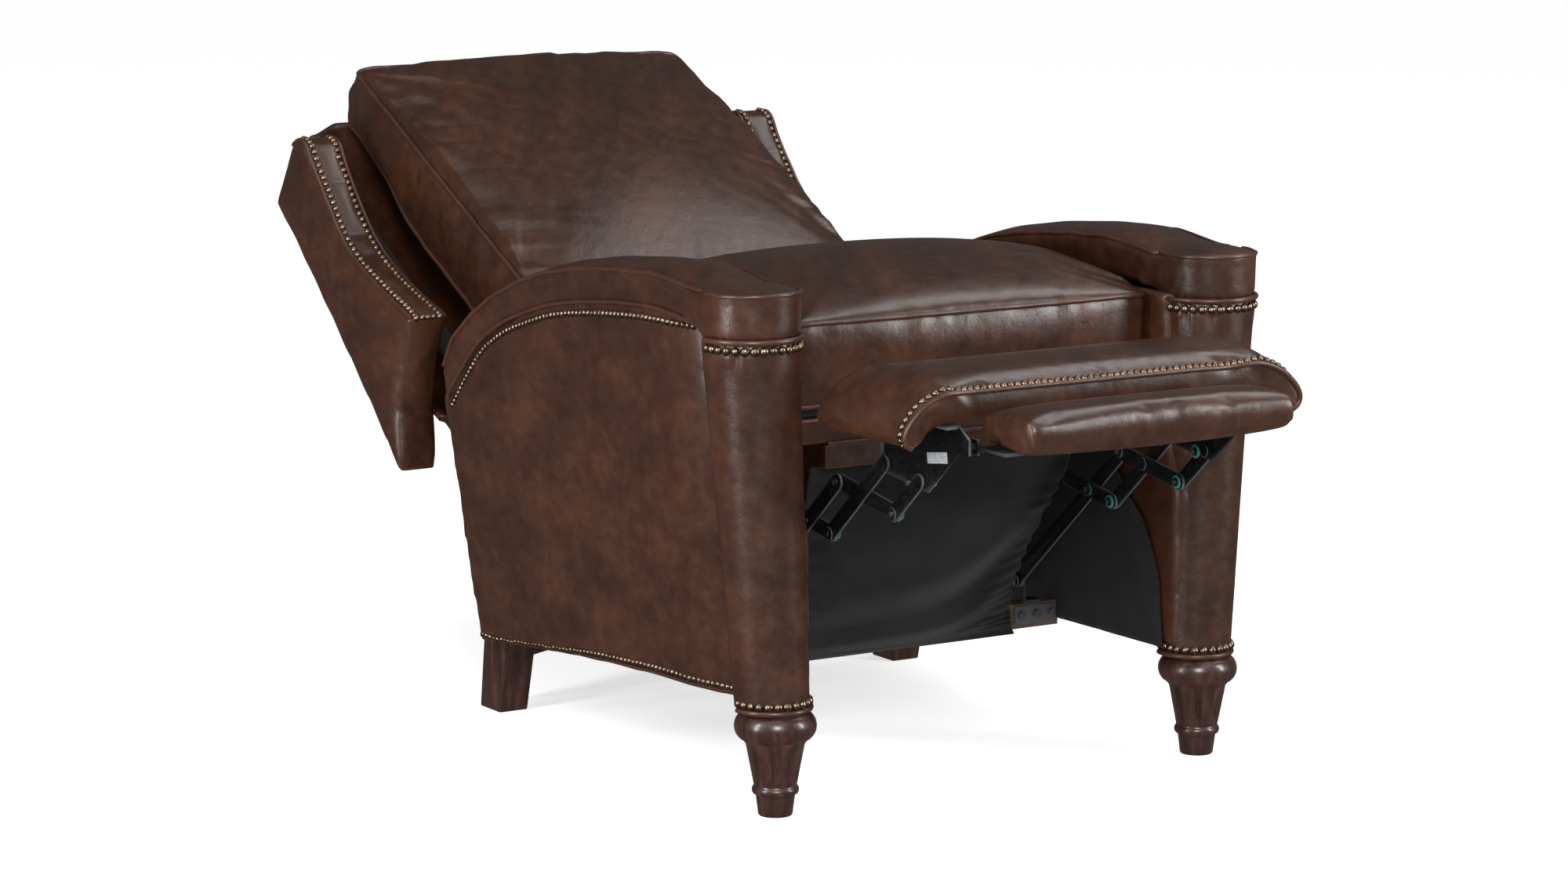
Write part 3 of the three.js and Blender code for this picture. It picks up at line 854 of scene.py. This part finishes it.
def arm_top(name, side):
    """Crowned pad that runs forward into a round cap: one cover with a boxed band all round."""
    cap_x, cap_y = side * 331, 20

    def reach_cap(piece):
        def rule(x, y, z):
            joint = (y > 84) & (y < 96) & (z > 560)
            return x, np.where(joint, y - 50, y), np.where(joint & (z > 615), z - 17, z)

        sculpt(piece, rule)

    def crown(piece):
        up = normals_of(piece)[:, 2]

        def rule(x, y, z):
            under = np.interp(y, *zip(*PANEL_TOP))
            low = z - under
            lift_band = 4.5 * np.clip(1 - low / 14, 0, 1) * (y > 86)
            tucked = np.clip(1 - low / 40, 0, 1) * np.clip((side * x - 360) / 15, 0, 1) * (y > 86)
            x = x - side * 5 * tucked
            across = np.clip(np.abs(x - side * 328) / 60, 0, 1)
            from_cap = np.hypot(x - cap_x, y - cap_y)
            on_pad = 3.5 - 10 * across**2
            on_cap = 3.0 - 9 * np.clip(from_cap / 62, 0, 1) ** 2
            share = np.clip((y - 20) / 90, 0, 1)
            top = np.clip((up - 0.35) / 0.4, 0, 1)
            return x, y, z + lift_band + top * (share * on_pad + (1 - share) * on_cap)

        sculpt(piece, rule)
        points = points_of(piece)
        y, z = (points[:, 1] - legs_y) / MM, points[:, 2] / MM
        relax_where(piece, (y > -5) & (y < 150) & (z > 618), 22)

    cap_centre = place(cap_x, cap_y, 0)
    outer = [place(side * 387, y, z) for y, z in PAD_EDGE]
    inner = [place(side * 269, y, z) for y, z in PAD_EDGE]
    cap_rim = arc(cap_centre, 61.5 * MM, *((-185, 35) if side < 0 else (145, 365)), 633 * MM)
    seams = [rounded(outer), rounded(inner), cap_rim]
    top = upholster(
        f"arm_top_{name}",
        [f"arm_cap_{name}", f"arm_pad_{name}"],
        "base",
        voxel=4.5,
        relax=5,
        seams=seams,
        pressure=4,
        most=9,
        slack=2,
        shape=reach_cap,
        carve=crown,
    )
    welt(f"arm_outer_welt_{name}", rounded(outer), "base", top, radius=2.8)
    rim = cap_rim + list(rounded(inner)) if side < 0 else cap_rim[::-1] + list(rounded(inner))
    welt(f"arm_cap_welt_{name}", rim, "base", top, radius=2.8)
    welt(f"arm_lower_welt_{name}", side_line(PANEL_TOP, side, drop=-7, out=9), "base", top, radius=2.8)
    return top


def inner_front(side):
    """The inside cover runs forward to the post and rolls in to it along a straight crease."""

    def rule(x, y, z):
        edge = front_edge(y, z, np.linspace(140, 575, 30), 10)
        target = np.interp(z, [135, 330, 420, 600], [-24, -22, 4, 8])
        near = np.clip(1 - (y - edge) / 70, 0, 1)
        moved = y + (target - edge) * near
        roll = np.clip(1 - (moved - target) / 16, 0, 1) ** 1.6
        return x + side * (14 * roll - 1.2 * near * (1 - roll)), moved, z

    return rule


for name, side in SIDES.items():
    turned_leg(name, side)
    square_leg(name)
    arm_side(name, side)
    arm_post(name, side)
    arm_top(name, side)
    upholster(
        f"inside_arm_{name}",
        [f"arm_lining_{name}"],
        "base",
        voxel=6,
        relax=2,
        carve=lambda piece: sculpt(piece, inner_front(side)),
    )


def flared(piece):
    """The lower back reaches out to the arms' leaning sides and down to the tops of the legs."""

    def rule(x, y, z):
        half = OUTER - LEAN * (575 - z) - 22
        corner = np.clip((np.abs(x) - 258) / 14, 0, 1) * np.clip((150 - z) / 30, 0, 1)
        return x * half / 324, y, z - 19 * corner

    sculpt(piece, rule)


upholster("lower_back_cover", ["lower_back_panel"], "base", voxel=6, relax=2, carve=flared)


# ---------- seat ----------
seat_edge = [(43, 576), (100, 574), (250, 566), (400, 556), (520, 544), (572, 532)]
seat_seams = [
    [place(-258, 45, 573), *[place(x, 41, 578) for x in range(-220, 221, 40)], place(258, 45, 573)],
    *[rounded([place(s * 258, y, z) for y, z in seat_edge]) for s in (-1, 1)],
    [place(x, 56, 472) for x in range(-252, 253, 42)],
]


def seat_crown(piece):
    up = normals_of(piece)[:, 2]

    def rule(x, y, z):
        x = x * (1 + 0.04 * np.clip(np.abs(x) / 200, 0, 1))
        dome = 17 * np.clip(1 - (x / 252) ** 2, 0, 1) * hump((y - 20) / 560) ** 0.7
        return x, y, z + np.clip((up - 0.3) / 0.4, 0, 1) * dome

    sculpt(piece, rule)


seat = upholster(
    "seat_cushion_cover",
    ["seat_cushion"],
    "seat",
    voxel=6,
    relax=6,
    seams=seat_seams,
    pressure=4,
    most=20,
    slack=5,
    carve=seat_crown,
)
pucker(seat, seat_seams[0], depth=1.2, reach=26, spacing=17, fan=0.3, seed=11)
loop = list(reversed(seat_seams[1])) + list(seat_seams[0])[1:-1] + list(seat_seams[2])
welt("seat_welt", loop, "seat", seat)
welt("seat_lower_welt", seat_seams[3], "seat", seat)
upholster("seat_front_rail_cover", ["seat_front_rail"], "seat", voxel=4, relax=3)
upholster("seat_apron_cover", ["seat_apron"], "seat", voxel=4, relax=3)
welt("apron_welt", [place(x, 67, 426) for x in (-195, 0, 195)], "seat", radius=3)


# ---------- back ----------
BACK_TILT = math.radians(26.7)
BACK_FOOT = (618, 504)  # the cushion's lower front edge, as (y, z)


def from_back(up, out):
    """y and z of a place on the back: `up` along the cushion from its foot, `out` towards the rear."""
    y = BACK_FOOT[0] + up * math.cos(BACK_TILT) + out * math.sin(BACK_TILT)
    return y, BACK_FOOT[1] + up * math.sin(BACK_TILT) - out * math.cos(BACK_TILT)


def to_back(y, z):
    """The way back from y and z to `up` and `out`."""
    y, z = y - BACK_FOOT[0], z - BACK_FOOT[1]
    up = y * math.cos(BACK_TILT) + z * math.sin(BACK_TILT)
    return up, y * math.sin(BACK_TILT) - z * math.cos(BACK_TILT)


def frame_loop(half, low, high, out, out_top):
    """A rounded rectangle of seam round one face of the back cushion."""
    corner = 34
    pts = [
        (-half, low + corner, out),
        (-half, (low + high) / 2, out),
        (-half, high - corner, out),
        (-half + 10, high - 10, out_top),
        (-half + corner, high, out_top),
        (0, high + 6, out_top),
        (half - corner, high, out_top),
        (half - 10, high - 10, out_top),
        (half, high - corner, out),
        (half, (low + high) / 2, out),
        (half, low + corner, out),
        (half - 10, low + 8, out),
        (half - corner, low, out),
        (0, low, out),
        (-half + corner, low, out),
        (-half + 10, low + 8, out),
    ]
    return rounded([place(x, *from_back(up, out)) for x, up, out in pts], closed=True)


def back_crown(piece):
    """The back's face domes out over its seams and its top edge bows up in the middle."""

    def rule(x, y, z):
        up, out = to_back(y, z)
        across = np.clip(1 - (x / 262) ** 2, 0, 1)
        along = hump(up / 650) ** 0.35
        face = np.clip(1 - out / 45, 0, 1)
        bow = 14 * across * np.clip((up - 520) / 120, 0, 1)
        return x, *from_back(up + bow, out - 22 * face * across**0.7 * along)

    sculpt(piece, rule)


back_seams = [frame_loop(252, 6, 634, 2, 6), frame_loop(252, 10, 636, 112, 84)]
back = upholster(
    "back_cushion_cover",
    ["back_cushion"],
    "back",
    voxel=6,
    relax=6,
    seams=back_seams,
    pressure=4,
    most=22,
    slack=5,
    carve=back_crown,
)
pucker(back, back_seams[0], depth=1.9, reach=75, spacing=19, fan=0.45, seed=3)
pucker(back, back_seams[1], depth=1.2, reach=35, spacing=19, fan=-0.2, seed=5)
for which, seam in zip(("front", "rear"), back_seams):
    welt(f"back_{which}_welt", seam, "back", back, closed=True)


def trimmed_corners(piece):
    """The outside back is cut away behind the wings, above and below."""

    def rule(x, y, z):
        up, out = to_back(y, z)
        side = np.clip((np.abs(x) - 258) / 40, 0, 1)
        y, trimmed = from_back(up - 26 * side * np.clip((up - 400) / 200, 0, 1), out)
        return x, y, trimmed + 60 * side * np.clip((380 - z) / 80, 0, 1)

    sculpt(piece, rule)


upholster("outside_back_cover", ["outside_back"], "back", voxel=6, relax=3, carve=trimmed_corners)


def set_back(piece):
    """The stiles stand back in the gap between wing and cushion."""

    def rule(x, y, z):
        up, out = to_back(y, z)
        thick = out.max() - out.min()
        return x, *from_back(up, out + np.where(out < out.min() + thick / 2, 0.85 * thick, 0))

    sculpt(piece, rule)


# The stiles are covered in black cotton so that the gap between wing and cushion shows black: painted shade in
# that gap.
for name in SIDES:
    stile = copy_nodes(f"stile_cover_{name}", [f"back_stile_{name}"])
    set_back(stile)
    apply_modifier(stile, "BEVEL", width=0.004, segments=3, limit_method="ANGLE")
    finish_piece(stile, "back", COTTON, [f"back_stile_{name}"], angle=40)


WING_FRONT = [
    (801, 501),
    (842, 515),
    (890, 532),
    (946, 555),
    (994, 582),
    (1040, 626),
    (1082, 671),
    (1106, 703),
]
WING_TOP = [(1126, 707), (1147, 697)]


def wing_line(side, inset, points, lift=0):
    return rounded([place(side * inset, y, z + lift) for y, z in points])


for name, side in SIDES.items():
    wing = upholster(
        f"wing_cover_{name}", [f"wing_{name}"], "back", voxel=5, relax=5, pressure=2, most=5, slack=1
    )
    for edge, inset in (("outer", 368), ("inner", 314)):
        line = wing_line(side, inset, WING_FRONT + WING_TOP)
        welt(f"wing_{edge}_welt_{name}", line, "back", wing, radius=2.8)
    for edge, inset in (("outer", 359), ("inner", 323)):
        line = wing_line(side, inset, WING_FRONT + WING_TOP[:1], 3)
        nail_row(f"wing_{edge}_nails_{name}", line, "back", wing, pitch=10.2)
    cross = [place(side * x, 803, 504) for x in (349, 341, 333)]
    nail_row(f"wing_cross_nails_{name}", cross, "back", wing, pitch=9.6)


# ---------- footrest ----------
footrest = upholster(
    "footrest_cover", ["footrest_pad"], "footrest", voxel=5, relax=5, pressure=3, most=7, slack=2
)
FOOT_HALF = [  # the board's edge from its middle round one ear, as (x, z)
    (0, 530),
    (120, 530),
    (226, 529.5),
    (244, 524),
    (262, 513),
    (278, 497),
    (285, 481),
    (281, 468),
    (272, 463),
]


def foot_line(y):
    """The footrest's edge across the chair, from ear to ear."""
    right = [place(x, y, z) for x, z in FOOT_HALF]
    left = [Vector((-p.x, p.y, p.z)) for p in reversed(right[1:])]
    return left + right


welt("footrest_welt", foot_line(-237), "footrest", footrest)
nail_row("footrest_nails", foot_line(-226)[1:-1], "footrest", footrest, radius=4.6, pitch=9.4)
flap_seam = [place(-190, y, z) for y, z in ((-338, 466), (-352, 490), (-352, 510))]
upholster(
    "flap_cover", ["flap_pad"], "flap", voxel=4, relax=12, seams=[flap_seam], pressure=5, most=8, slack=0
)


# ---------- mechanism ----------
def eased_steel(node_name, body):
    """A punched and riveted steel part with its sharp edges broken."""
    piece = copy_nodes(f"{node_name}_bar", [node_name])
    corner = math.radians(40)
    apply_modifier(piece, "BEVEL", width=0.0005, segments=2, limit_method="ANGLE", angle_limit=corner)
    return finish_piece(piece, body, STEEL, [node_name], angle=35)


def both(*parts):
    """The right and left node of each part."""
    return [f"{part}_{side}" for part in parts for side in ("left", "right")]


STEEL_NODES = {
    "crank": [*both("crank"), "torque_tube"],
    "long_links": both("long_link"),
    "cross_links": both("cross_link"),
    "rear_risers": both("rear_riser"),
    "front_links": both("front_link"),
    "front_risers": both("front_riser"),
    "footrest": both("footrest_bracket"),
    "flap": both("flap_plate"),
    "base": both("mechanism_side_plate", "back_pivot_plate"),
    "back": both("back_bracket"),
}
for body, members in STEEL_NODES.items():
    for member in members:
        eased_steel(member, body)


def coil_spring(name):
    """Close-wound tension spring with a hook at each end."""
    low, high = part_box(f"tension_spring_{name}")
    mid = (low + high) / 2
    length = high.y - low.y
    turns, radius = 16, 5.2 * MM
    path = []
    for i in range(turns * 14 + 1):
        t = i / (turns * 14)
        angle = 2 * math.pi * turns * t
        y = low.y + length * (0.14 + 0.72 * t)
        path.append(Vector((mid.x + radius * math.cos(angle), y, mid.z + radius * math.sin(angle))))
    start = [Vector((mid.x, low.y, mid.z)), Vector((mid.x + radius * 0.6, low.y + 0.006, mid.z))]
    end = [Vector((mid.x + radius * 0.6, high.y - 0.006, mid.z)), Vector((mid.x, high.y, mid.z))]
    piece = round_wire(f"spring_coil_{name}", start + path + end, 1.1, facets=1, caps=False)
    return finish_piece(piece, "base", ZINC, [f"tension_spring_{name}"])


for name in SIDES:
    coil_spring(name)

KEPT = {
    MAHOGANY: ["rear_rail"],
    BEECH: ["front_cross_rail", "rear_cross_rail", *both("seat_side_rail"), "seat_rear_rail"],
    COTTON: ["seat_deck"],
}
for material, members in KEPT.items():
    for member in members:
        frame["nodes"][member].data.materials.clear()
        frame["nodes"][member].data.materials.append(material)


def turned_disc(name, at, rows, steps=20):
    """A small turned part on an axis along x, from (radius, distance) rows in millimetres."""
    return spun(name, [at + Vector((d * MM, 0, r * MM)) for r, d in rows], at, (1, 0, 0), steps)


RIVET = [(0, 0), (5.6, 0), (5.6, 0.8), (4.6, 2.2), (2.6, 3.0), (0, 3.2)]
WASHER_RING = [(8.2, 0), (8.2, 1.4), (7.6, 1.8), (4.0, 1.8)]
PIVOTS = {  # body: its joint, and the part whose faces carry the rivet
    "crank": ("legrest", "crank"),
    "long_links": ("long_link_turn", "long_link"),
    "cross_links": ("cross_link_turn", "cross_link"),
    "rear_risers": ("rear_riser_turn", "rear_riser"),
    "front_links": ("front_link_turn", "front_link"),
    "front_risers": ("front_riser_turn", "front_riser"),
    "footrest": ("footrest_turn", "footrest_bracket"),
}
joints_at = {j["name"]: Vector(j["pos_m"]) for j in frame["joints"]}


def rivet_row(name, side, body, joint, part):
    """A domed rivet head with its washer on the inner face of a linkage pivot, and its tail on the outer."""
    pivot = joints_at[joint]
    low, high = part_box(f"{part}_{name}")
    inner, outer = (low.x, high.x) if side > 0 else (high.x, low.x)
    at = Vector((inner, pivot.y, pivot.z))
    head = turned_disc(f"rivet_{body}_{name}", at, [(r, -side * (d + 1.6)) for r, d in RIVET])
    finish_piece(head, body, STEEL, angle=40)
    ring = turned_disc(f"washer_{body}_{name}", at, [(r, -side * d) for r, d in WASHER_RING])
    finish_piece(ring, body, WASHER, angle=40)
    at = Vector((outer, pivot.y, pivot.z))
    tail = turned_disc(f"rivet_tail_{body}_{name}", at, [(r, side * d) for r, d in RIVET])
    finish_piece(tail, body, STEEL, angle=40)


def blank_label(name, side):
    """An unprinted label stuck on the outside of the footrest's bracket."""
    at = points_of(frame["nodes"][f"footrest_bracket_{name}"])
    face = np.abs(at[at[:, 2] < 0.41, 0]).max() + 0.0003
    centre = place(side * face / MM, -188, 447)
    bpy.ops.object.select_all(action="DESELECT")
    bpy.ops.mesh.primitive_cube_add(
        size=1, location=centre, rotation=(math.radians(-8), 0, 0), scale=(0.0004, 0.042, 0.013)
    )
    label = bpy.context.object
    label.name = f"blank_label_{name}"
    bake_place(label)
    apply_modifier(label, "BEVEL", width=0.00015, segments=2)
    finish_piece(label, "footrest", LABEL, angle=35)


for name, side in SIDES.items():
    for body, (joint, part) in PIVOTS.items():
        rivet_row(name, side, body, joint, part)
blank_label("right", -1)


def rail_plate(name, side):
    """The bent steel plate that carries the mechanism, screwed to the front of the cross rail."""
    low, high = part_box("front_cross_rail")
    middle, height = 0.2295, (low.z + high.z) / 2 + 0.002
    bpy.ops.object.select_all(action="DESELECT")
    bpy.ops.mesh.primitive_cube_add(size=1, location=(side * middle, low.y - 0.0017, height))
    plate = bpy.context.object
    plate.name = f"rail_plate_{name}"
    plate.scale = (0.063, 0.003, 0.024)
    bake_place(plate)
    apply_modifier(plate, "BEVEL", width=0.0012, segments=2)
    finish_piece(plate, "base", STEEL, angle=35)
    for count in range(3):
        across = middle + 0.0235 * (count - 1)
        bpy.ops.object.select_all(action="DESELECT")
        bpy.ops.mesh.primitive_cylinder_add(
            vertices=6,
            radius=0.0055,
            depth=0.005,
            location=(side * across, low.y - 0.0055, height),
            rotation=(math.radians(90), 0, 0),
        )
        bolt = bpy.context.object
        bolt.name = f"rail_bolt_{name}_{count}"
        bake_place(bolt)
        apply_modifier(bolt, "BEVEL", width=0.0008, segments=2)
        finish_piece(bolt, "base", STEEL, angle=35)


for name, side in SIDES.items():
    rail_plate(name, side)


# ---------- cloth ----------
def along(line, share):
    """The point this share of the way along a line's list of points."""
    where = share * (len(line) - 1)
    low = min(int(where), len(line) - 2)
    return line[low].lerp(line[low + 1], where - low)


def grid_sheet(name, point_at, columns, rows):
    """A cloth sheet from a function of two shares, 0 to 1 across and 0 to 1 down."""
    verts = [point_at(i / columns, j / rows) for j in range(rows + 1) for i in range(columns + 1)]
    wide = columns + 1
    faces = [
        (j * wide + i, j * wide + i + 1, (j + 1) * wide + i + 1, (j + 1) * wide + i)
        for j in range(rows)
        for i in range(columns)
    ]
    piece = new_piece(name, verts, faces)
    apply_modifier(piece, "SOLIDIFY", thickness=0.0008, offset=0)
    return piece


def middle_line(profile):
    """A smooth line down the middle of the chair, from (y, z) points."""
    return rounded([place(0, y, z) for y, z in profile], 6)


BIB_DROP = middle_line(
    [(104, 392), (128, 340), (160, 290), (194, 240), (220, 195), (233, 160), (238, 138), (239, 121)]
)


def ridge(s, centre, width):
    return math.exp(-(((s - centre) / width) ** 2))


def bib_point(u, v):
    """The curtain: folds run slantwise across it, and along its two elastic edges a seam draws it up into
    pleats, with a narrow frill outside the seam."""
    half = (196 - 14 * math.sin(math.pi * v)) * MM
    edge = min(u, 1 - u) * 2 * half / MM
    sag = 0.045 * math.sin(math.pi * v) ** 1.2 * math.sin(math.pi * u) ** 0.8
    stretch = v + 0.022 * math.sin(9 * v + 1) + 0.011 * math.sin(31 * v)
    wave = math.sin(2 * math.pi * 17 * stretch + 0.02 * edge) * (0.75 + 0.25 * math.sin(23 * v + 2))
    frill = 3.6 * ridge(edge, 3, 13) + 3.4 * math.exp(-max(0.0, edge - 20) / 24) * (edge > 14)
    gathers = frill * (1 - 0.7 * ridge(edge, 19, 4)) * wave * MM * min(1, 9 * v, 5 * (1 - v))
    slack = (math.sin(math.pi * u) * math.sin(math.pi * v)) ** 0.6
    slant = v + 0.4 * u + 0.03 * math.sin(7 * u)
    fold = 0.019 * ridge(slant, 0.62, 0.07) - 0.011 * ridge(slant, 0.74, 0.06)
    fold += 0.017 * ridge(slant, 0.92, 0.08)
    fold += 0.009 * ridge(slant, 1.12, 0.06) + 0.004 * math.sin(19 * v - 7 * u + 2 * math.sin(6 * v))
    fold *= slack
    loose = Vector(((2 * u - 1) * half, -sag - gathers - fold, -0.45 * sag + 0.4 * fold))
    return along(BIB_DROP, v) + loose


bib = grid_sheet("bib_cloth", bib_point, 110, 120)
finish_piece(bib, "base", COTTON, ["bib_curtain"])

# front edge of the cloth inside an arm, as (z, y)
CLOTH_FRONT = [(135, 9), (162, 13), (221, 19), (258, 33), (294, 53), (317, 84), (345, 108), (388, 118)]


def inside_cloth(side):
    """The lining inside an arm, behind the linkage; its front edge runs in a curve onto the post."""

    def point_at(u, v):
        z = 136 + (386 - 136) * v
        front = float(np.interp(z, *zip(*CLOTH_FRONT)))
        low = 3.6 * max(0.0, u - 0.1) * (1 - v)
        y = front + (596 - front) * u
        ripple = 0.7 * math.sin(y * 0.05 + z * 0.02) + 0.5 * math.sin(y * 0.11 - z * 0.04)
        return place(side * (263.2 - 0.6 * ripple - (1.5 if u < 0.01 else 0)), y, z - low)

    return point_at


for name, side in SIDES.items():
    cloth = grid_sheet(f"inside_arm_cloth_{name}", inside_cloth(side), 90, 36)
    finish_piece(cloth, "base", COTTON)


REAR_DROP = middle_line(
    [
        (707, 318),
        (709, 338),
        (716, 346),
        (727, 343),
        (750, 322),
        (785, 301),
        (820, 293),
        (831, 301),
        (835, 322),
    ]
)


def rear_point(u, v):
    """Slack lining from the base's lower back, over its top edge, up to the inside of the outside back."""
    free = math.sin(math.pi * v) ** 2
    ripple = 0.0025 * math.sin(11 * u + 3 * math.sin(4 * u)) * free
    return along(REAR_DROP, v) + Vector(((2 * u - 1) * (300 - 40 * v) * MM, ripple, ripple))


rear_lining = grid_sheet("rear_lining", rear_point, 60, 40)
finish_piece(rear_lining, None, COTTON)
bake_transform(rear_lining)

# ---------- stage, light, camera ----------
bpy.ops.object.select_all(action="DESELECT")
bpy.ops.mesh.primitive_plane_add(size=90, location=(0, 0, -0.0004))
floor = bpy.context.object
floor.name = "floor"
bake_place(floor)
paper = start_material(
    "white_sweep_paper",
    base_color=srgb("f6f6f6"),
    roughness=0.9,
    emission_color=(1, 1, 1, 1),
    emission_strength=0.66,
)
floor.data.materials.append(paper[0])
floor.visible_glossy = False

world = bpy.data.worlds.new("studio")
bpy.context.scene.world = world
world.use_nodes = True
world.node_tree.nodes["Background"].inputs["Color"].default_value = (1, 1, 1, 1)
world.node_tree.nodes["Background"].inputs["Strength"].default_value = 0.09


def softbox(name, at, target, size, power):
    light = bpy.data.lights.new(name, "AREA")
    light.shape = "RECTANGLE"
    light.size, light.size_y = size
    light.energy = power
    lamp = bpy.data.objects.new(name, light)
    bpy.context.scene.collection.objects.link(lamp)
    lamp.location = at
    lamp.rotation_euler = (Vector(target) - Vector(at)).to_track_quat("-Z", "Y").to_euler()
    return lamp


sky = bpy.data.lights.new("ceiling_bounce", "SUN")
sky.energy = 0.9
sky.angle = math.radians(70)
sky_lamp = bpy.data.objects.new("ceiling_bounce", sky)
bpy.context.scene.collection.objects.link(sky_lamp)
sky_lamp.rotation_euler = (math.radians(18), math.radians(-14), 0)
softbox("left_strip", (-3.0, -0.6, 1.3), (0, 0, 0.35), (0.4, 2.4), 62)
softbox("key_softbox", (-2.3, -4.6, 2.4), (0, 0, 0.4), (1.3, 1.9), 150)
softbox("right_strip", (2.4, -2.7, 1.6), (0, 0, 0.4), (0.4, 2.2), 70)
softbox("overhead_softbox", (1.8, -0.1, 3.0), (0, 0, 0.4), (1.6, 1.6), 24)

camera_data = bpy.data.cameras.new("camera")
camera_data.sensor_width = 36
camera_data.lens = 116.9
camera_data.clip_end = 200
camera = bpy.data.objects.new("camera", camera_data)
bpy.context.scene.collection.objects.link(camera)
camera.location = place(-3399, -5007, 1440)
camera.rotation_euler = (math.radians(90 - 9.56), 0, math.radians(-31.78))
bpy.context.scene.camera = camera
bpy.context.scene.view_settings.view_transform = "Standard"
